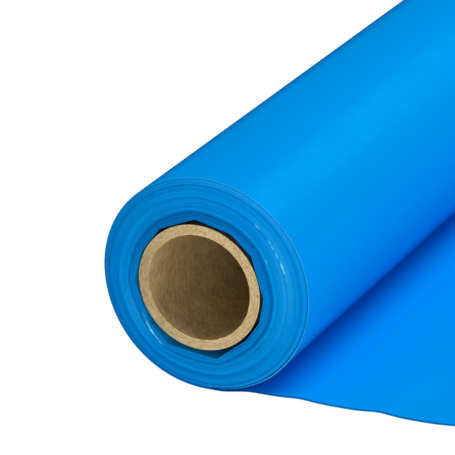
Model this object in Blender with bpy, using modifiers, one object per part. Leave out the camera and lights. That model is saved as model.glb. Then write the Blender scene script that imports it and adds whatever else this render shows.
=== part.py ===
"""Backdrop film roll: plastic studio film wound on a spiral paper core, with its free end pulled out flat.

Units are metres, +Z is up. The roll lies on the floor along Y, its near end at -Y. The origin is on the
floor, below the roll's axis and halfway along it. The film leaves the roll at the floor and runs to +X.
Angles round the roll start at the bottom and run clockwise as seen from the near end.
"""

import math

import bmesh
import bpy
from mathutils import Vector

MM = 0.001

# Driving dimensions
ROLL_WIDTH = 1350 * MM  # a half-width studio roll, and the length of its core
ROLL_RADIUS = 51 * MM
SHEET_REACH = 450 * MM  # free end of the pulled-out film, from the roll's axis
FILM_THICKNESS = 0.36 * MM

# Paper core: spiral plies from the liner outwards
CORE_BORE_RADIUS = 25.4 * MM  # a 2 inch core
PLY_COUNT = 8
PLY_THICKNESS = 0.5 * MM
PLY_PITCH = 0.6 * MM  # ply plus the clearance to the next one
PLY_STRIP_WIDTH = 127 * MM  # a 5 inch strip of core board
PLY_SEAM_GAP = 0.8 * MM  # between neighbouring turns of one strip
PLY_TIP = 0.3 * MM  # width of the blunt tip that a strip is cut to at each end of the core
PLY_FACETS = 24
CORE_SHIFT = Vector((-2.85 * MM, 0, -1.6 * MM))  # the loose core lies off the roll's axis

# Creases of the innermost film turns: angle in degrees and distance from the core's axis
CREASES = (
    (29, 35.0 * MM),
    (49, 33.3 * MM),
    (87, 32.9 * MM),
    (114, 31.4 * MM),
    (143, 31.9 * MM),
    (178, 32.9 * MM),
    (210, 32.9 * MM),
    (234, 32.8 * MM),
    (271, 32.2 * MM),
    (293, 32.4 * MM),
    (315, 32.0 * MM),
    (347, 34.9 * MM),
)
FIRST_TURNS_GROWTH = 1.045  # outer outline of the creased turns, against the inner one
WOUND_OPENING_GROWTH = 1.057  # opening of the wound film, against the same outline

# Clearances
TURN_CLEARANCE = 0.35 * MM  # the roll turns inside its outermost turn of film
BUTT_GAP = 0.3 * MM  # between the outermost turn's tail and the loose sheet

FILM_FACETS = 64
TURN_FACETS_COVERED = 62  # the outermost turn stops short of its own tail
TAIL_REACH = 55 * MM  # flat tail of the outermost turn, just past the roll's side

# Starting tape, on the core at one edge and on the film at the other
TAPE_THICKNESS = 0.2 * MM
TAPE_START = 15  # degrees
TAPE_END = 48
TAPE_STEPS = 8
TAPE_WIDTH = 1200 * MM
TAPE_CORE_RADIUS = 30.5 * MM
TAPE_FILM_RADIUS = 32.2 * MM

ROLL_CENTRE = Vector((0, 0, ROLL_RADIUS))
CORE_CENTRE = ROLL_CENTRE + CORE_SHIFT
HALF_WIDTH = ROLL_WIDTH / 2

BLUE = (0.0, 0.27, 0.89)
KRAFT = (0.62, 0.45, 0.27)
LINER_BROWN = (0.36, 0.26, 0.14)
TAPE_TAN = (0.70, 0.58, 0.38)


def clear_scene():
    for obj in list(bpy.data.objects):
        bpy.data.objects.remove(obj)


def make_collection(name):
    collection = bpy.data.collections.new(name)
    bpy.context.scene.collection.children.link(collection)
    return collection


def make_material(name, colour, roughness, metallic=0.0):
    material = bpy.data.materials.new(name)
    material.use_nodes = True
    shader = material.node_tree.nodes["Principled BSDF"]
    shader.inputs["Base Color"].default_value = (*colour, 1)
    shader.inputs["Roughness"].default_value = roughness
    shader.inputs["Metallic"].default_value = metallic
    return material


def add_part(collection, name, data, material, parent=None):
    """Link data as one named object, and parent it without moving it."""
    obj = bpy.data.objects.new(name, data)
    collection.objects.link(obj)
    data.materials.append(material)
    if parent:
        obj.parent = parent
        obj.matrix_parent_inverse = parent.matrix_world.inverted()
    return obj


def make_pivot(collection, name, place):
    pivot = bpy.data.objects.new(name, None)
    collection.objects.link(pivot)
    pivot.location = place
    bpy.context.view_layer.update()
    return pivot


def round_point(centre, angle, radius):
    """The point of the roll's cross-section at this angle, in radians, from the bottom."""
    return centre + Vector((-math.sin(angle), 0, -math.cos(angle))) * radius


def ribbon_mesh(name, columns):
    """An open strip of faces through pairs of points, one pair for each column."""
    mesh = bpy.data.meshes.new(name)
    shape = bmesh.new()
    last = len(columns) - 1
    bmesh.ops.create_grid(shape, x_segments=last, y_segments=1, size=0.5)
    for vert in shape.verts:
        column = columns[round((vert.co.x + 0.5) * last)]
        vert.co = column[1] if vert.co.y > 0 else column[0]
    shape.to_mesh(mesh)
    shape.free()
    mesh.shade_smooth()
    mesh.set_sharp_from_angle(angle=math.radians(30))
    return mesh


def thicken(obj, thickness, offset):
    solidify = obj.modifiers.new("thickness", "SOLIDIFY")
    solidify.thickness = thickness
    solidify.offset = offset
    solidify.use_even_offset = True


def extruded_outline(name, outlines):
    """A flat outline, with any holes, extruded over the roll's width."""
    curve = bpy.data.curves.new(name, "CURVE")
    curve.dimensions = "2D"
    curve.fill_mode = "BOTH"
    curve.extrude = HALF_WIDTH
    for outline in outlines:
        spline = curve.splines.new("POLY")
        spline.points.add(len(outline) - 1)
        for point, place in zip(spline.points, outline):
            point.co = (place.x, place.z, 0, 1)
        spline.use_cyclic_u = True
    return curve


def ply_helix():
    """The strips' lead and their number of steps, fitted so that a strip runs out exactly at both ends."""
    girth = math.tau * (CORE_BORE_RADIUS + PLY_COUNT * PLY_PITCH / 2)
    lead = girth * math.tan(math.asin(PLY_STRIP_WIDTH / girth))
    turns_length = ROLL_WIDTH - PLY_SEAM_GAP
    steps = round(PLY_FACETS * turns_length / lead)
    return PLY_FACETS * turns_length / steps, steps + PLY_FACETS


def ply_columns(index):
    """The two edges of one helical strip, cut square at the core's ends."""
    radius = CORE_BORE_RADIUS + index * PLY_PITCH
    lead, steps = ply_helix()
    strip = lead - PLY_SEAM_GAP
    columns = []
    for step in range(steps + 1):
        low = -HALF_WIDTH - strip + step * lead / PLY_FACETS
        near = min(max(low, -HALF_WIDTH), HALF_WIDTH - PLY_TIP)
        far = max(min(low + strip, HALF_WIDTH), PLY_TIP - HALF_WIDTH)
        place = round_point(CORE_CENTRE, math.tau * (step / PLY_FACETS + index / PLY_COUNT), radius)
        columns.append((place + Vector((0, near, 0)), place + Vector((0, far, 0))))
    return columns


def ply_name(index):
    if index == 0:
        return "core_liner"
    if index == PLY_COUNT - 1:
        return "core_wrap"
    return f"core_ply_{index + 1}"


def make_core(collection, parent, board, liner):
    for index in range(PLY_COUNT):
        name = ply_name(index)
        mesh = ribbon_mesh(name, ply_columns(index))
        ply = add_part(collection, name, mesh, board if index else liner, parent)
        thicken(ply, PLY_THICKNESS, 1)


def circle(radius):
    """Points of a many-sided circle that has a flat at the bottom, this far from the roll's axis."""
    corner = radius / math.cos(math.pi / FILM_FACETS)
    turn = math.tau / FILM_FACETS
    return [round_point(ROLL_CENTRE, (step + 0.5) * turn, corner) for step in range(FILM_FACETS)]


def creased_outline(growth):
    return [round_point(CORE_CENTRE, math.radians(angle), reach * growth) for angle, reach in CREASES]


def add_outline_part(collection, name, outlines, material, parent):
    part = add_part(collection, name, extruded_outline(name, outlines), material)
    part.rotation_euler = (math.pi / 2, 0, 0)
    part.parent = parent
    part.matrix_parent_inverse = parent.matrix_world.inverted()


def make_wound_film(collection, parent, film):
    opening = creased_outline(1)
    add_outline_part(
        collection, "first_turns", [creased_outline(FIRST_TURNS_GROWTH), opening], film, parent
    )
    outside = circle(ROLL_RADIUS - FILM_THICKNESS - TURN_CLEARANCE)
    add_outline_part(
        collection, "wound_film", [outside, creased_outline(WOUND_OPENING_GROWTH)], film, parent
    )


def make_start_tape(collection, parent, paper):
    columns = []
    for step in range(TAPE_STEPS + 1):
        share = step / TAPE_STEPS
        angle = math.radians(TAPE_START + (TAPE_END - TAPE_START) * share)
        climb = max(0, 2 * share - 1)  # the second half leaves the core and meets the film
        radius = TAPE_CORE_RADIUS + (TAPE_FILM_RADIUS - TAPE_CORE_RADIUS) * climb
        place = round_point(CORE_CENTRE, angle, radius)
        edge = Vector((0, TAPE_WIDTH / 2, 0))
        columns.append((place - edge, place + edge))
    tape = add_part(collection, "start_tape", ribbon_mesh("start_tape", columns), paper, parent)
    thicken(tape, TAPE_THICKNESS, 1)


def make_outer_turn(collection, film):
    """The last turn of film on the roll, with the flat tail that it leaves by."""
    edge = Vector((0, HALF_WIDTH, 0))
    path = [Vector((TAIL_REACH, 0, 0)), *circle(ROLL_RADIUS)[:TURN_FACETS_COVERED]]
    columns = [(place - edge, place + edge) for place in path]
    turn = add_part(collection, "outer_turn", ribbon_mesh("outer_turn", columns), film)
    thicken(turn, FILM_THICKNESS, -1)


def make_loose_sheet(collection, film):
    near = TAIL_REACH + BUTT_GAP
    size = Vector((SHEET_REACH - near, ROLL_WIDTH, FILM_THICKNESS))
    mesh = bpy.data.meshes.new("loose_sheet")
    shape = bmesh.new()
    bmesh.ops.create_cube(shape, size=1)
    bmesh.ops.scale(shape, vec=size, verts=shape.verts)
    shape.to_mesh(mesh)
    shape.free()
    sheet = add_part(collection, "loose_sheet", mesh, film)
    sheet.location = (near + size.x / 2, 0, FILM_THICKNESS / 2)


def main():
    clear_scene()
    parts = make_collection("backdrop_film_roll")
    film = make_material("blue_film", BLUE, 0.3)
    board = make_material("core_board", KRAFT, 0.85)
    liner = make_material("core_liner", LINER_BROWN, 0.8)
    tape = make_material("tape", TAPE_TAN, 0.6)
    roll = make_pivot(parts, "roll_axis", ROLL_CENTRE)
    make_core(parts, roll, board, liner)
    make_start_tape(parts, roll, tape)
    make_wound_film(parts, roll, film)
    make_outer_turn(parts, film)
    make_loose_sheet(parts, film)


main()
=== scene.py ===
"""Looks of the backdrop film roll: one spiral of blue film on a paper core, its free end pulled out flat.

Everything is in metres in the frame's own axes: the roll lies along Y on the floor at z = 0, its near end
at -Y, and the film leaves its bottom towards +X. Angles round the roll start at the bottom and run
clockwise as seen from the near end, as in the CAD.
"""

import math

import bpy
import numpy as np
from mathutils import Matrix, Vector


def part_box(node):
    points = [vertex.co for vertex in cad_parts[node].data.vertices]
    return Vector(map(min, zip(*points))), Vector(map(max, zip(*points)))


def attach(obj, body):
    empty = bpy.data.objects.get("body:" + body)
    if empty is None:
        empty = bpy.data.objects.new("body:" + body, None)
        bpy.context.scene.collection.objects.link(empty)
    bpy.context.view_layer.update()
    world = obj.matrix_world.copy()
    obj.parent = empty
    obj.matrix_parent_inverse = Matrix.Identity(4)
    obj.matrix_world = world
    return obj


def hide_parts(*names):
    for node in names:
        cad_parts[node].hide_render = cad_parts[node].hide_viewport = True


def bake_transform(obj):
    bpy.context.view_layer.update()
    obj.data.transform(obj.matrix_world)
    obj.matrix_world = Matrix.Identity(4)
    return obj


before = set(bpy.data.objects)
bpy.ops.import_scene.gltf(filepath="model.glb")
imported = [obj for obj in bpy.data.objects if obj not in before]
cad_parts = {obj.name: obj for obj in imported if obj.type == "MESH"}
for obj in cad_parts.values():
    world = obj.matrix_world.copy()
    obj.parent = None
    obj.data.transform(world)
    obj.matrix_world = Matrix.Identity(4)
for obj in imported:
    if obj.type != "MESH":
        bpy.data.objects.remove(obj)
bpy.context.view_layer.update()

MM = 0.001

# ---------------------------------------------------------------- sizes, from the frame
TURN_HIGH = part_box("outer_turn")[1]
SHEET_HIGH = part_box("loose_sheet")[1]
LINER_LOW, LINER_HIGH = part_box("core_liner")
WRAP_LOW, WRAP_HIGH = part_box("core_wrap")

HALF_WIDTH = TURN_HIGH.y
ROLL_RADIUS = TURN_HIGH.z / 2
ROLL_AXIS = np.array([0.0, ROLL_RADIUS])  # x and z
FILM = SHEET_HIGH.z
SHEET_REACH = SHEET_HIGH.x
TUCK = 0.2 * MM  # how far the outermost turn draws in before it goes under itself
WOUND_CLEARANCE = 0.03 * MM
WOUND_RADIUS = ROLL_RADIUS - FILM - TUCK - WOUND_CLEARANCE
CORE_AXIS = np.array([(WRAP_LOW.x + WRAP_HIGH.x) / 2, (WRAP_LOW.z + WRAP_HIGH.z) / 2])
CAD_PLY = 0.5 * MM  # thickness of each of the core's strips in the CAD
CAD_PLY_GAP = 0.1 * MM  # and the gap between two
CORE_RADIUS = (WRAP_HIGH.x - WRAP_LOW.x) / 2 + CAD_PLY_GAP
BORE_RADIUS = (LINER_HIGH.x - LINER_LOW.x) / 2 - CAD_PLY

# ---------------------------------------------------------------- small tools


def wander(along, step, seed):
    """Smooth random values from -1 to 1 at these places, changing over about one step."""
    places = np.asarray(along, float) / step
    low = int(np.floor(places.min()))
    knots = np.random.default_rng(seed).uniform(-1, 1, int(places.max()) - low + 3)
    index = np.floor(places).astype(int) - low
    share = places - np.floor(places)
    share = share * share * (3 - 2 * share)
    return knots[index] * (1 - share) + knots[index + 1] * share


def ramp(values, start, end):
    """0 at start and 1 at end, eased, and level past them. The start may be the higher of the two."""
    share = np.clip((np.asarray(values, float) - start) / (end - start), 0, 1)
    return share * share * (3 - 2 * share)


def bump_at(values, centre, width):
    """1 at this value, falling off over about this width."""
    return np.exp(-(((values - centre) / width) ** 2))


def angle_bump(angle, centre, width):
    """1 at this angle in degrees, falling off over about this width, all the way round."""
    apart = (np.degrees(angle) - centre + 180) % 360 - 180
    return np.exp(-((apart / width) ** 2))


def outward(angle):
    """Unit vectors, x and z, away from an axis at these angles."""
    return np.stack([-np.sin(angle), -np.cos(angle)], axis=-1)


def lengths_along(path):
    """How far each point of a path lies from its first one, along it."""
    return np.concatenate([[0], np.cumsum(np.linalg.norm(np.diff(path, axis=0), axis=1))])


def mesh_piece(name, points, faces, material, sharp=40):
    mesh = bpy.data.meshes.new(name)
    mesh.from_pydata(points, [], faces)
    mesh.validate()
    mesh.shade_smooth()
    mesh.set_sharp_from_angle(angle=math.radians(sharp))
    piece = bpy.data.objects.new(name, mesh)
    bpy.context.scene.collection.objects.link(piece)
    mesh.materials.append(material)
    return piece


def set_attribute(piece, name, values, domain="POINT"):
    made = piece.data.attributes.new(name, "FLOAT", domain)
    made.data.foreach_set("value", np.asarray(values, np.float32).ravel())


def ring_faces(columns, ring):
    """Quads round each pair of neighbouring columns of ring points, closed by a cap at each end."""
    faces = []
    for column in range(columns - 1):
        here, there = column * ring, (column + 1) * ring
        for k in range(ring):
            after = (k + 1) % ring
            faces.append((here + k, here + after, there + after, there + k))
    last = (columns - 1) * ring
    faces.append(tuple(reversed(range(ring))))
    faces.append(tuple(last + k for k in range(ring)))
    return faces


# ---------------------------------------------------------------- materials

# Base colours, dark and light
# The film's two faces, the roll's outside and the sheet's top, are copies of one blue, each tuned to how
# light falls there: painted light
FILM_OUTSIDE = (0.0, 0.308, 0.86, 1), (0.0, 0.333, 0.895, 1)
FILM_INSIDE = (0.0, 0.325, 0.9, 1), (0.0, 0.355, 0.94, 1)
FILM_CUT = (0.0, 0.13, 0.385, 1), (0.0, 0.288, 0.74, 1)
TAPE = (0.5, 0.4, 0.24, 1), (0.66, 0.55, 0.37, 1)

# Painted sheen, then a whiter painted highlight, on the film's cut edges
FILM_PAINTED_SHEEN = (0.0, 0.5, 0.9, 1)
FILM_PAINTED_GLINT = (0.36, 0.95, 1.0, 1)
# Painted light in the first turns, for light coming through the film
FILM_PAINTED_LIT_THROUGH = (0.0, 0.42, 1.0, 1)
# Painted shade for a grazing view of the film
FILM_PAINTED_GRAZING_SHADE = (0.0, 0.12, 0.4, 1)
FILM_SHEEN = (0.0, 0.7, 0.9, 1)  # what its gloss reflects

# Dark, light and speck
BOARD = (0.3, 0.205, 0.09, 1), (0.63, 0.49, 0.265, 1), (0.18, 0.13, 0.09, 1)
LINER = (0.34, 0.225, 0.09, 1), (0.68, 0.505, 0.245, 1), (0.17, 0.115, 0.055, 1)


class Shader:
    """A Principled material with short ways to add the nodes behind its sockets."""

    def __init__(self, name, **sockets):
        self.material = bpy.data.materials.new(name)
        self.material.use_nodes = True
        self.tree = self.material.node_tree
        self.main = self.tree.nodes["Principled BSDF"]
        for socket, value in sockets.items():
            self.main.inputs[socket.replace("_", " ")].default_value = value

    def node(self, kind, inputs=(), **settings):
        made = self.tree.nodes.new(kind)
        for setting, value in settings.items():
            setattr(made, setting, value)
        for socket, value in dict(inputs).items():
            if isinstance(value, bpy.types.NodeSocket):
                self.tree.links.new(value, made.inputs[socket])
            else:
                made.inputs[socket].default_value = value
        return made

    def link(self, output, socket):
        self.tree.links.new(output, self.main.inputs[socket])

    def number(self, operation, a, b):
        return self.node("ShaderNodeMath", {0: a, 1: b}, operation=operation).outputs[0]

    def attribute(self, name):
        return self.node("ShaderNodeAttribute", attribute_name=name).outputs["Fac"]

    def vector(self, x, y, z=0.0):
        return self.node("ShaderNodeCombineXYZ", {0: x, 1: y, 2: z}).outputs[0]

    def noise(self, vector, scale, detail=2.0, roughness=0.5):
        inputs = {"Vector": vector, "Scale": scale, "Detail": detail, "Roughness": roughness}
        return self.node("ShaderNodeTexNoise", inputs).outputs["Fac"]

    def spread(self, value, low, high, to_low=0.0, to_high=1.0):
        inputs = {0: value, 1: low, 2: high, 3: to_low, 4: to_high}
        return self.node("ShaderNodeMapRange", inputs).outputs[0]

    def mix(self, share, a, b, blend="MIX"):
        inputs = {0: share, 6: a, 7: b}
        return self.node("ShaderNodeMix", inputs, data_type="RGBA", blend_type=blend).outputs[2]

    def bump(self, height, strength, distance):
        inputs = {"Height": height, "Strength": strength, "Distance": distance}
        self.link(self.node("ShaderNodeBump", inputs).outputs[0], "Normal")


def film_face_colour(film, surface, facing):
    """The film's two faces. Painted light in the first turns stands in for light coming through them, and a
    painted shade darkens the film at a grazing view.
    """
    cloudy = film.noise(surface, scale=6.0, detail=3.0)
    outer = film.mix(cloudy, *FILM_OUTSIDE)
    inner = film.mix(cloudy, *FILM_INSIDE)
    face = film.mix(film.attribute("outside"), inner, outer)
    face = film.mix(film.attribute("painted_lit_through"), face, FILM_PAINTED_LIT_THROUGH)
    # Painted shade at a grazing view
    return film.mix(film.spread(facing, 0.82, 1.0, to_high=0.85), face, FILM_PAINTED_GRAZING_SHADE)


def film_cut_colour(film, along):
    """The film's cut edges: from dark to light by shade, streaked along each turn, and painted highlights on
    them.
    """
    layer = film.number("MULTIPLY", film.attribute("turn"), 3.0)
    streaks = film.noise(film.vector(along, layer), scale=25.0, detail=3.0)
    streaked = film.spread(streaks, 0.3, 0.7, to_low=-0.12, to_high=0.12)
    shade = film.number("ADD", film.attribute("shade"), streaked)
    glint = film.attribute("glint")
    # Painted sheen, and a whiter painted highlight where it is strongest
    cut = film.mix(glint, film.mix(shade, *FILM_CUT), FILM_PAINTED_SHEEN)
    return film.mix(film.number("MULTIPLY", glint, glint), cut, FILM_PAINTED_GLINT)


def film_material():
    """Blue vinyl film.

    It reads these attributes: along and across are metres on the film itself, turn is the number of turns
    inside it, outside is 1 on the face that the roll shows, painted_lit_through is 1 on the first turns, edge
    is 1 on a cut edge, and shade and glint, which carry painted light, shade and highlights, are
    for the cut edges.
    """
    film = Shader("blue_film", IOR=1.45, Specular_IOR_Level=0.0, Specular_Tint=FILM_SHEEN)
    along, across = film.attribute("along"), film.attribute("across")
    surface = film.vector(along, across)
    facing = film.node("ShaderNodeLayerWeight", {"Blend": 0.5}).outputs["Facing"]
    face = film_face_colour(film, surface, facing)
    cut = film_cut_colour(film, along)
    film.link(film.mix(film.attribute("edge"), face, cut), "Base Color")
    film.link(film.spread(facing, 0.48, 0.75, to_low=0.14, to_high=0.0), "Metallic")
    smears = film.noise(surface, scale=30.0, detail=3.0)
    film.link(film.spread(smears, 0.3, 0.7, to_low=0.29, to_high=0.36), "Roughness")
    film.bump(film.noise(surface, scale=14.0, detail=1.0), strength=0.05, distance=2.0 * MM)
    return film.material


def board_material(name, dark, light, speck):
    """Tan paperboard, mottled and specked.

    It reads these attributes: along, across and depth are metres in one wound strip of it, and painted_shade
    is how light it is, with shade painted in.
    """
    board = Shader(name, IOR=1.4, Specular_IOR_Level=0.3)
    along, across, depth = (board.attribute(name) for name in ("along", "across", "depth"))
    place = board.vector(along, across, depth)
    stretched = board.vector(board.number("MULTIPLY", along, 0.3), across, depth)
    fibres = board.noise(stretched, scale=900.0, detail=6.0, roughness=0.7)
    blotches = board.noise(place, scale=110.0, detail=3.0)
    fine, coarse = board.number("MULTIPLY", fibres, 0.72), board.number("MULTIPLY", blotches, 0.28)
    paper = board.mix(board.spread(board.number("ADD", fine, coarse), 0.36, 0.64), dark, light)
    specks = board.noise(place, scale=1500.0)
    paper = board.mix(board.spread(specks, 0.6, 0.72, to_high=0.75), paper, speck)
    board.link(board.mix(1.0, paper, board.attribute("painted_shade"), "MULTIPLY"), "Base Color")
    board.link(board.spread(fibres, 0.3, 0.7, to_low=0.84, to_high=0.96), "Roughness")
    board.bump(fibres, strength=0.4, distance=0.25 * MM)
    return board.material


def tape_material():
    """Crepe paper tape, its creases running along the roll."""
    tape = Shader("tape", Roughness=0.7, IOR=1.45)
    place = tape.node("ShaderNodeTexCoord").outputs["Object"]
    stretched = tape.node("ShaderNodeMapping", {"Vector": place, "Scale": (1.0, 0.3, 1.0)}).outputs[0]
    crepe = tape.noise(stretched, scale=700.0, detail=4.0, roughness=0.6)
    tape.link(tape.mix(tape.spread(crepe, 0.3, 0.7), *TAPE), "Base Color")
    tape.bump(crepe, strength=0.5, distance=0.2 * MM)
    return tape.material


# ---------------------------------------------------------------- the wound film
WOUND_TURNS = 33.15
STEPS_PER_TURN = 240
FILM_PITCH = 0.367 * MM  # a tight turn
LEAVING_ANGLE = math.radians(354)  # where the wound film goes under the outermost turn
# Turns at which the winding goes slack, with their shares of the room that tight turns leave
SLACK_TURNS = ((0.6, 0.05), (5.5, 0.02), (19.6, 0.012))
SLACK_OVER = 0.8  # turns that it takes to go slack
FILLED = 0.97  # how much of its room each turn fills
CREASE_TURNS = 7.0  # the creases fade over about so many turns
CREASE_STEP = 0.5  # degrees, between the places where the creased outline is worked out
CREASE_WINDOW = 60  # steps each way that easing it takes in
SHARP_CREASE, SOFT_CREASE = 1.2, 9.0  # degrees, over which the creases are eased, first and last
EDGE_CROWN = 0.05 * MM  # how far the middle of the cut edge stands out
EDGE_WANDERS = ((0.35 * MM, 0.9), (0.22 * MM, 0.17))  # how far a cut edge strays, over what length
RECESS = 0.9 * MM  # how far the outermost turn lies back from the roll's near end
SPIRAL_RECESS = 0.8 * RECESS  # and the wound film's last turn
RECESSED_TURNS = (2.6, 0.6)  # turns before the last where that begins, and is complete
PAINTED_LIT_THROUGH_TURNS = (3, 1.5)  # turns between which the painted light, for light coming through the film, begins
STRIP_RING = 6  # points round the wound film: its outside, middle and inside, at each cut edge
STRIP_CUTS = [1, 1, 0, 1, 1, 0]  # which faces round it are of a cut edge

# The cut edges' shade: marks by turn, and by degrees round the roll, painted light and shade among them
MEAN_SHADE = 0.5
TURN_SHADES = ((0.2, 2.4, 51), (0.16, 0.9, 52))  # strength, turns that one band takes, seed
ALONG_SHADE = (0.14, 0.11, 53)  # strength, metres that one patch takes, seed
# Painted light on the face's upper right and painted shade on its left, for how the lamps fall; the inner
# turns darker at the top left
PAINTED_SIDE_SHADES = (
    (0.18, 235, 80, 6, 9), (-0.34, 80, 75, 18, 23), (-0.37, 150, 70, 11, 7),
)  # strength, angle, width, turn where it begins, turn where it is complete
BANDED_SIDE = (235, 80)  # angle and width of the side where the bands and lines below show most
BAND_ELSEWHERE = 0.35  # how strong the dark bands are on the other side
DARK_BANDS = (
    (0.3, 0.5, 0.3), (5.4, 1.5, 0.5), (13.4, 0.5, 0.15), (24.5, 0.5, 0.2),
)  # turn, width, depth
# Painted highlights: pale lines along single turns, where their edges catch the light
PAINTED_HIGHLIGHT_LINES = (
    (8.2, 0.4, 0.15), (17.0, 0.5, 0.2), (20.0, 0.5, 0.3), (27.6, 0.3, 0.3), (29.6, 0.3, 0.6),
    (31.2, 0.3, 0.4), (32.9, 0.4, 0.7),
)  # turn, width, height
NICKS = (
    (10.2, 311, 3, 1.0), (9.6, 304, 2, 0.4), (9.3, 322, 3, 0.4), (27.5, 260, 2, 0.5),
)  # turn, angle, width, depth
NICK_TURNS = 0.7

# Painted highlights on the cut edges: short bright flecks where the film's edges catch the light
PAINTED_GLINTS = (
    (19.2, 221, 2.0, 1.1), (18.9, 232.5, 1.8, 1.0), (18.6, 236, 1.5, 0.8), (18.8, 241, 2.2, 0.9),
    (19.1, 248, 3.0, 1.4), (19.4, 251.5, 1.6, 0.7), (19.8, 256, 2.0, 0.3), (9.2, 242, 2.0, 0.6),
    (2.7, 57, 4.0, 0.4), (3.0, 51, 3.0, 0.8), (3.3, 47.5, 2.6, 1.2), (4.0, 44.5, 2.4, 1.2),
    (4.7, 42, 2.4, 1.3), (5.3, 38, 2.6, 1.2), (6.2, 34, 2.6, 0.9), (5.0, 50, 3.0, 0.4),
    (6.0, 45, 3.0, 0.5),
)  # turn, angle, width, strength
PAINTED_GLINT_TURNS = 0.5
# Wide pale patches of painted sheen on the cut edges
PAINTED_SHEENS = (
    (32.6, 2.2, 215, 42, 0.24), (11, 5, 66, 26, 0.15), (18, 6, 262, 34, 0.17), (24, 4, 232, 30, 0.1),
)  # turn, turns wide, angle, width, strength


def creases():
    """Angles, and distances from the core's axis, of the creases in the CAD's innermost turn."""
    nearest = {}
    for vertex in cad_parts["first_turns"].data.vertices:
        x, z = vertex.co.x - CORE_AXIS[0], vertex.co.z - CORE_AXIS[1]
        angle = round(math.degrees(math.atan2(-x, -z)) % 360)
        nearest[angle] = min(math.hypot(x, z), nearest.get(angle, 1.0))
    angles = sorted(nearest)
    return np.radians(angles), np.array([nearest[angle] for angle in angles])


def creased_reach(angle, softness):
    """The innermost turn's distance from the core's axis: straight between creases, eased over softness."""
    at, reach = creases()
    at = np.concatenate([at - math.tau, at, at + math.tau])
    reach = np.tile(reach, 3)
    fine = np.radians(np.arange(-180, 540, CREASE_STEP))
    after = np.searchsorted(at, fine)
    a0, a1, r0, r1 = at[after - 1], at[after], reach[after - 1], reach[after]
    straight = r0 * r1 * np.sin(a1 - a0) / (r0 * np.sin(fine - a0) + r1 * np.sin(a1 - fine))
    steps = np.arange(-CREASE_WINDOW, CREASE_WINDOW + 1)
    window = np.exp(-0.5 * (steps * CREASE_STEP / softness) ** 2)
    eased = np.convolve(straight, window / window.sum(), "same")
    return np.interp(angle % math.tau, fine, eased)


def outside_reach(angle, radius):
    """The distance from the core's axis to a circle round the roll's axis."""
    offset = CORE_AXIS - ROLL_AXIS
    along = outward(angle) @ offset
    return np.sqrt(along**2 + radius**2 - offset @ offset) - along


def wound_path():
    """The wound film from its first edge outwards.

    It gives each step's turn number, angle, middle point, x and z, and thickness.
    """
    turn = np.linspace(0, WOUND_TURNS, int(WOUND_TURNS * STEPS_PER_TURN) + 1)
    angle = LEAVING_ANGLE + math.tau * (WOUND_TURNS - turn)
    sharp, soft = creased_reach(angle, SHARP_CREASE), creased_reach(angle, SOFT_CREASE)
    first = soft + (sharp - soft) * np.exp(-turn / CREASE_TURNS)
    last = outside_reach(angle, WOUND_RADIUS - FILM / 2)
    slack = last - first - WOUND_TURNS * FILM_PITCH
    taken = 1 - sum(share for _, share in SLACK_TURNS)
    used = taken * turn / WOUND_TURNS
    for start, share in SLACK_TURNS:
        used = used + share * ramp(turn, start, start + SLACK_OVER)
    reach = first + turn * FILM_PITCH + used * slack
    thickness = FILLED * (FILM_PITCH + taken * slack / WOUND_TURNS)
    return turn, angle, CORE_AXIS + outward(angle) * reach[:, None], thickness


def edge_wander(along, seed):
    """How far a cut edge of the film lies past the roll's end, from how it was wound."""
    far = np.zeros(len(along))
    for k, (strength, step) in enumerate(EDGE_WANDERS):
        far = far + strength * wander(along, step, seed + k)
    return far


def film_strip(name, path, thickness, near, far, material):
    """A film along a path of points, x and z, between two cut edges."""
    tangent = np.gradient(path, axis=0)
    tangent /= np.linalg.norm(tangent, axis=1)[:, None]
    normal = np.stack([-tangent[:, 1], tangent[:, 0]], axis=1)
    points = []
    for y, crown, sides in ((near, -EDGE_CROWN, (0.5, 0, -0.5)), (far, EDGE_CROWN, (-0.5, 0, 0.5))):
        for side in sides:
            at = path + normal * (thickness * side)[:, None]
            points.append(np.stack([at[:, 0], y + (0 if side else crown), at[:, 1]], axis=1))
    points = np.stack(points, axis=1)
    return mesh_piece(name, points.reshape(-1, 3), ring_faces(len(path), STRIP_RING), material)


def edge_shade(turn, angle, along):
    """How light the wound film's cut edge is at each point: bands of turns, and painted light and shade by
    side.
    """
    shade = np.full(len(turn), MEAN_SHADE)
    for strength, step, seed in TURN_SHADES:
        shade = shade + strength * wander(turn, step, seed)
    strength, step, seed = ALONG_SHADE
    shade = shade + strength * wander(along, step, seed)
    # Painted light and shade by side
    for strength, centre, width, start, end in PAINTED_SIDE_SHADES:
        shade = shade + strength * angle_bump(angle, centre, width) * ramp(turn, start, end)
    banded = angle_bump(angle, *BANDED_SIDE)
    for at, width, depth in DARK_BANDS:
        strength = BAND_ELSEWHERE + (1 - BAND_ELSEWHERE) * banded
        shade = shade - depth * bump_at(turn, at, width) * strength
    # Painted highlight lines
    for at, width, height in PAINTED_HIGHLIGHT_LINES:
        shade = shade + height * bump_at(turn, at, width) * banded
    for at, centre, width, depth in NICKS:
        shade = shade - depth * bump_at(turn, at, NICK_TURNS) * angle_bump(angle, centre, width)
    return np.clip(shade, 0, 1)


def edge_glint(turn, angle):
    """Painted highlights on the wound film's cut edge: short bright flecks, and wide pale patches of painted
    sheen.
    """
    glint = np.zeros(len(turn))
    for at, centre, width, strength in PAINTED_GLINTS:
        glint = glint + strength * bump_at(turn, at, PAINTED_GLINT_TURNS) * angle_bump(angle, centre, width) ** 2
    for at, depth, centre, width, strength in PAINTED_SHEENS:
        glint = glint + strength * bump_at(turn, at, depth) * angle_bump(angle, centre, width)
    return np.clip(glint, 0, 1)


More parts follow.
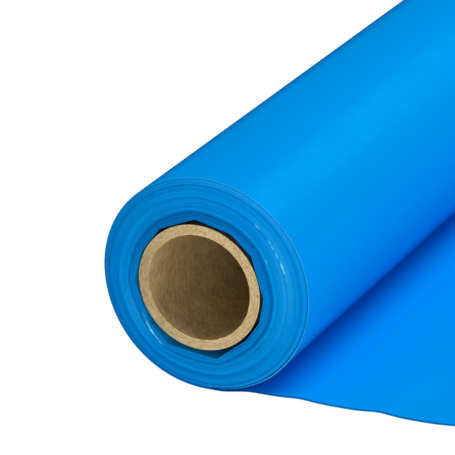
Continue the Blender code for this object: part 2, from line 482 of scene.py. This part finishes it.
def make_wound_film(material):
    turn, angle, path, thickness = wound_path()
    along = lengths_along(path)
    last = ramp(turn, *(WOUND_TURNS - before for before in RECESSED_TURNS))
    near = -HALF_WIDTH + edge_wander(along, seed=11) * (1 - last) + SPIRAL_RECESS * last
    far = HALF_WIDTH + edge_wander(along, seed=21) * (1 - last)
    piece = film_strip("wound_spiral", path, thickness, near, far, material)
    set_attribute(piece, "along", np.repeat(along, STRIP_RING))
    set_attribute(piece, "turn", np.repeat(turn, STRIP_RING))
    set_attribute(piece, "across", np.stack([near, near, near, far, far, far], axis=1))
    set_attribute(piece, "edge", STRIP_CUTS * (len(path) - 1) + [1, 1], "FACE")
    set_attribute(piece, "painted_lit_through", np.repeat(ramp(turn, *PAINTED_LIT_THROUGH_TURNS), STRIP_RING))
    set_attribute(piece, "shade", np.repeat(edge_shade(turn, angle, along), STRIP_RING))
    set_attribute(piece, "glint", np.repeat(edge_glint(turn, angle), STRIP_RING))
    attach(piece, "roll")
    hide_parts("wound_film", "first_turns")


# ---------------------------------------------------------------- the outermost turn and the loose sheet
TURN_STEPS = 200
SHEET_STEPS = 170
# Millimetres from each cut edge to the rows of points, in to the film's middle
ROW_EDGES = (0, 0.7, 1.4, 3, 6, 10, 16, 24, 34, 46, 60, 80, 105, 140, 190, 260, 350, 450, 550, 675)
RECESSED_ROWS = 4  # rows at the near cut edge that lie back from the roll's end
RECESS_ANGLES = (15, 90)  # degrees, where that is over, and where it is whole
INNER_TUCK = (0, 25)  # degrees, over which its inside draws in
OUTER_TUCK = (300, 350)  # and its outside
LOOSE_AT, LOOSE_OVER = 322, 12  # degrees, where the outermost turn stands off the roll before it leaves
LOOSE_GAP = 0.1 * MM
BULGE_AT, BULGE_OVER = 125, 38  # degrees, where the outermost turn stands a little proud
BULGE = 0.45 * MM
# Painted light and a painted highlight on the outermost turn's cut edge, on the sides towards the lamps;
# painted shade elsewhere
PAINTED_LIT_SIDES = ((1.0, 225, 80), (0.8, 322, 28))  # strength, angle and width, where its cut edge is light
# The loose sheet's cut edges stay dark: partly the film's own darker cut edge, partly painted shade
SHEET_PAINTED_LIT = 0.1  # the same for the loose sheet
LENGTH_BEFORE = 9.0  # metres, where the film's texture goes on from the wound film's
RIPPLE_STARTS = (6 * MM, 24 * MM)  # from the roll's axis, where the sheet leaves the floor, and is free of it
RIPPLE_CREST = 46 * MM  # from the roll's axis to the first crest
RIPPLE_LENGTH = 38.5 * MM
RIPPLE_FADE = 55 * MM  # how far in from a cut edge


def pulled_surfaces():
    """The outermost turn's angles, and points, x and z, of the pulled film's inner and outer surfaces."""
    angle = np.linspace(LEAVING_ANGLE, 0, TURN_STEPS)
    degrees = np.degrees(angle)
    loose = LOOSE_GAP * angle_bump(angle, LOOSE_AT, LOOSE_OVER)
    inside = ROLL_RADIUS - FILM - TUCK * ramp(degrees, *INNER_TUCK) + loose
    outside = ROLL_RADIUS - TUCK * ramp(degrees, *OUTER_TUCK) + loose
    outside = outside + BULGE * angle_bump(angle, BULGE_AT, BULGE_OVER)
    x = np.linspace(0, SHEET_REACH, SHEET_STEPS)[1:]
    surfaces = []
    for radius, height in ((inside, FILM), (outside, 0)):
        turn = ROLL_AXIS + outward(angle) * radius[:, None]
        surfaces.append(np.concatenate([turn, np.stack([x, np.full(len(x), height)], axis=1)]))
    return angle, surfaces


def pulled_rows(angle, along):
    """Each row's place across the film, for each step along it."""
    count = len(along)
    inset = np.array(ROW_EDGES) * MM
    rows = np.concatenate([-HALF_WIDTH + inset, (HALF_WIDTH - inset[:-1])[::-1]])
    y = np.repeat(rows[None, :], count, axis=0)
    y[:, 0] += edge_wander(along, seed=31) * np.linspace(0, 1, count)
    y[:, -1] += edge_wander(along, seed=41) * np.linspace(0, 1, count)
    y[: len(angle), :RECESSED_ROWS] += RECESS * ramp(np.degrees(angle), *RECESS_ANGLES)[:, None]
    return y


def sheet_lift(x, y):
    """How high the loose sheet lies above the floor: rippled along its cut edges and nearly flat inside."""
    starts = ramp(x, *RIPPLE_STARTS)
    phase = math.tau * (x - RIPPLE_CREST) / RIPPLE_LENGTH
    crest = np.exp(1.3 * (np.cos(phase) - 1))
    ripple = 1.8 + 3.0 * x + 0.85 * crest * (1 + 0.25 * np.sin(x * 37 - 1.7))
    swell = 0.4 + 0.35 * np.sin(x * 21 + y * 3.1) * np.cos(y * 7 - x * 5)
    from_edge = HALF_WIDTH - np.abs(y)
    return MM * starts * (np.exp(-from_edge / RIPPLE_FADE) * ripple + swell)


def shell_faces(count, width):
    """Faces of a film of two surfaces, count columns by width rows, and which of them are of its cut edges.

    The loose sheet's two outermost rows count as edge too, widening the dark line along its cut edges: partly
    the film's own darker cut edge, partly painted shade.
    """
    faces = []
    cut = []
    second = count * width
    for i in range(count - 1):
        for j in range(width - 1):
            a, d = i * width + j, (i + 1) * width + j
            faces.append((a, d, d + 1, a + 1))
            faces.append((second + a, second + a + 1, second + d + 1, second + d))
            # The sheet's two outermost rows join the dark cut edge: partly own colour, partly painted shade
            dark_edge_row = i >= TURN_STEPS and j in (0, 1, width - 3, width - 2)
            cut += [dark_edge_row, dark_edge_row]
        a, d = i * width, (i + 1) * width
        faces.append((a, second + a, second + d, d))
        a, d = a + width - 1, d + width - 1
        faces.append((a, d, second + d, second + a))
        cut += [True, True]
    for j in range(width - 1):
        a = (count - 1) * width + j
        faces.append((j, j + 1, second + j + 1, second + j))
        faces.append((a, second + a, second + a + 1, a + 1))
        cut += [True, True]
    return faces, cut


def make_pulled_film(material):
    """The outermost turn and the loose sheet, as the one film that they are."""
    angle, surfaces = pulled_surfaces()
    along = lengths_along(surfaces[1])
    y = pulled_rows(angle, along)
    count, width = y.shape
    reach = np.maximum(surfaces[1][:, 0], 0) * (np.arange(count) >= TURN_STEPS)
    lift = sheet_lift(reach[:, None], y)
    points = []
    for at in surfaces:
        points.append(np.stack([np.repeat(at[:, :1], width, 1), y, at[:, 1:] + lift], axis=2))
    faces, cut = shell_faces(count, width)
    piece = mesh_piece("pulled_film", np.concatenate(points).reshape(-1, 3), faces, material)
    set_attribute(piece, "along", np.tile(np.repeat(along, width), 2) + LENGTH_BEFORE)
    set_attribute(piece, "across", np.tile(y.ravel(), 2))
    set_attribute(piece, "edge", cut, "FACE")
    set_attribute(piece, "outside", np.repeat([0.0, 1.0], count * width))
    # Painted light, painted shade and a painted highlight along the cut edges, by side
    lit = np.full(count, SHEET_PAINTED_LIT)
    lit[:TURN_STEPS] = sum(strength * angle_bump(angle, *side) for strength, *side in PAINTED_LIT_SIDES)
    set_attribute(piece, "shade", np.tile(np.repeat(0.1 + 0.9 * lit, width), 2))
    set_attribute(piece, "glint", np.tile(np.repeat(np.maximum(0.3 * lit - 0.05, 0), width), 2))
    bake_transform(piece)
    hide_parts("outer_turn", "loose_sheet")


# ---------------------------------------------------------------- the core
PLY_COUNT = 8
PLY_STEPS = 96  # steps of a strip to one turn round the core
PLY_STRIP = 127 * MM
PLY_SEAM = 0.25 * MM
PLY_TIP = 0.1 * MM
PLY_CLEARANCE = 0.012 * MM
PLY_BURR = 0.07 * MM  # how rough the saw left the core's ends
LINER_BURR = 3 * PLY_BURR
PLY_GIRTH = math.tau * (BORE_RADIUS + CORE_RADIUS) / 2
PLY_SEED = 100
PLY_TEXTURE_STEP = 0.1  # metres, so that no two strips share a texture
CUT_TOLERANCE = 1e-6


def ply_name(index):
    if index == 0:
        return "core_liner"
    if index == PLY_COUNT - 1:
        return "core_wrap"
    return f"core_ply_{index + 1}"


def ply_course(index):
    """Angles of a strip's steps, where its near and far edges run, and its rise in one turn."""
    lead = PLY_GIRTH * math.tan(math.asin(PLY_STRIP / PLY_GIRTH))
    along = 2 * HALF_WIDTH - PLY_SEAM
    steps = round(PLY_STEPS * along / lead)
    lead = PLY_STEPS * along / steps
    step = np.arange(steps + PLY_STEPS + 1)
    angle = math.tau * (step / PLY_STEPS + index / PLY_COUNT)
    low = -HALF_WIDTH - (lead - PLY_SEAM) + step * lead / PLY_STEPS
    near = np.minimum(np.maximum(low, -HALF_WIDTH), HALF_WIDTH - PLY_TIP)
    far = np.maximum(np.minimum(low + lead - PLY_SEAM, HALF_WIDTH), PLY_TIP - HALF_WIDTH)
    return angle, near, far, lead


def board_painted_shade(angle):
    """How light each face of a strip is, as one value each for its four walls, and two for its end caps.

    It is painted shade: the core's ends darker towards the lower left, a strip's outside dark as the shade in
    the gap round the core, and the bore darker below.
    """
    here = (angle[1:] + angle[:-1]) / 2
    # Painted shade on the core's ends, darkest towards the lower left
    painted_end_shade = 0.17 * np.cos(here - math.radians(70)) - 0.08 * np.cos(2 * here - math.radians(20))
    painted_shade = np.ones((len(here), 4))
    painted_shade[:, 0] = painted_shade[:, 2] = 1.055 - painted_end_shade
    # Painted shade on a strip's outside, for the shaded gap round the core
    painted_shade[:, 1] = 0.15
    # Painted shade in the bore, darker below
    painted_shade[:, 3] = 1.1 - 0.34 * np.maximum(np.cos(here), 0)
    return [*painted_shade.ravel(), 1, 1]


def make_ply(index, material):
    """One helical strip of paperboard, cut square at the core's ends."""
    pitch = (CORE_RADIUS - BORE_RADIUS) / PLY_COUNT
    inner = BORE_RADIUS + index * pitch
    outer = inner + pitch - PLY_CLEARANCE
    angle, near, far, lead = ply_course(index)
    rng = np.random.default_rng(PLY_SEED + index)
    burr = PLY_BURR if index else LINER_BURR
    points = []
    for radius, y, pull in ((inner, near, -burr), (outer, near, 0), (outer, far, 0), (inner, far, -burr)):
        cut = np.abs(np.abs(y) - HALF_WIDTH) < CUT_TOLERANCE
        torn = rng.uniform(0, 1, len(angle)) ** 2 * cut
        at = CORE_AXIS + outward(angle) * (radius + pull * torn)[:, None]
        fuzz = PLY_BURR * rng.uniform(-1, 1, len(angle)) * cut
        points.append(np.stack([at[:, 0], y + fuzz, at[:, 1]], axis=1))
    points = np.stack(points, axis=1)
    name = ply_name(index)
    piece = mesh_piece(name + "_strip", points.reshape(-1, 3), ring_faces(len(angle), 4), material)
    around = np.repeat(angle * inner, 4)
    slope = math.atan2(lead, PLY_GIRTH)
    y = points[:, :, 1].ravel()
    set_attribute(piece, "along", around * math.cos(slope) + y * math.sin(slope))
    set_attribute(piece, "across", y * math.cos(slope) - around * math.sin(slope))
    depth = index * PLY_TEXTURE_STEP + np.tile([inner, outer, outer, inner], len(angle))
    set_attribute(piece, "depth", depth)
    set_attribute(piece, "painted_shade", board_painted_shade(angle), "FACE")
    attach(piece, "roll")
    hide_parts(name)


# ---------------------------------------------------------------- stage, light and camera
FLOOR_REACH = 8.0
FLOOR_DROP = 0.1 * MM  # so that the floor and the sheet lying on it don't share a plane
FLOOR_GLOW = 0.98
WHITE = (1, 1, 1)
ROOM_LIGHT = 0.32
NEAR_END = (0, -HALF_WIDTH, ROLL_RADIUS)

AZIMUTH, ELEVATION, TILT = math.radians(26.01), math.radians(21.53), math.radians(-1.276)
CAMERA_PLACE = (0.5734, -HALF_WIDTH - 1.15021, 0.58576)
LENS, SENSOR = 245.25, 36  # mm


def make_floor():
    mesh = bpy.data.meshes.new("floor")
    corners = [(-1, -1, 0), (1, -1, 0), (1, 1, 0), (-1, 1, 0)]
    mesh.from_pydata([Vector(corner) * FLOOR_REACH for corner in corners], [], [(0, 1, 2, 3)])
    floor = bpy.data.objects.new("floor", mesh)
    bpy.context.scene.collection.objects.link(floor)
    floor.location.z = -FLOOR_DROP
    pale = Shader(
        "floor_white", Base_Color=(0.09, 0.09, 0.09, 1), Roughness=0.9, Specular_IOR_Level=0,
        Emission_Color=(*WHITE, 1), Emission_Strength=FLOOR_GLOW,
    )
    mesh.materials.append(pale.material)


def area_light(name, place, size, power, colour=WHITE):
    """A rectangular light that faces the roll's near end."""
    light = bpy.data.lights.new(name, "AREA")
    light.shape = "RECTANGLE"
    light.size, light.size_y = size
    light.energy = power
    light.color = colour
    lamp = bpy.data.objects.new(name, light)
    bpy.context.scene.collection.objects.link(lamp)
    lamp.location = place
    lamp.rotation_mode = "QUATERNION"
    lamp.rotation_quaternion = (Vector(NEAR_END) - Vector(place)).to_track_quat("-Z", "Y")
    return lamp


def make_lights():
    world = bpy.data.worlds.new("studio")
    bpy.context.scene.world = world
    world.use_nodes = True
    world.node_tree.nodes["Background"].inputs["Color"].default_value = (*WHITE, 1)
    world.node_tree.nodes["Background"].inputs["Strength"].default_value = ROOM_LIGHT
    area_light("key", place=(1.7, -HALF_WIDTH + 0.6, 4.6), size=(3.0, 2.6), power=147)
    area_light("fill", place=(1.3, -HALF_WIDTH - 3.7, 0.5), size=(3.0, 1.0), power=62)
    # A strip of gloss along the roll's top, and nothing else
    sheen = area_light(
        "sheen", place=(0.75, -HALF_WIDTH + 3.4, 2.1), size=(1.6, 1.0), power=14, colour=(0.1, 1.0, 0.6),
    )
    sheen.visible_diffuse = False


def make_camera():
    """A long lens that looks down at the roll's near end from its right."""
    right = Vector((math.cos(AZIMUTH), math.sin(AZIMUTH), 0))
    level = math.cos(ELEVATION)
    ahead = Vector((-math.sin(AZIMUTH) * level, math.cos(AZIMUTH) * level, -math.sin(ELEVATION)))
    up = right.cross(ahead)
    across = right * math.cos(TILT) + up * math.sin(TILT)
    upright = up * math.cos(TILT) - right * math.sin(TILT)
    data = bpy.data.cameras.new("camera")
    data.lens, data.sensor_width = LENS, SENSOR
    camera = bpy.data.objects.new("camera", data)
    bpy.context.scene.collection.objects.link(camera)
    turn = Matrix((across, upright, -ahead)).transposed()
    camera.matrix_world = Matrix.Translation(CAMERA_PLACE) @ turn.to_4x4()
    bpy.context.scene.camera = camera


def main():
    bpy.context.scene.view_settings.view_transform = "Standard"
    film = film_material()
    board = board_material("core_board", *BOARD)
    liner = board_material("core_liner", *LINER)
    make_camera()
    make_floor()
    make_lights()
    make_wound_film(film)
    make_pulled_film(film)
    for index in range(PLY_COUNT):
        make_ply(index, board if index else liner)
    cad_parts["start_tape"].material_slots[0].material = tape_material()


main()
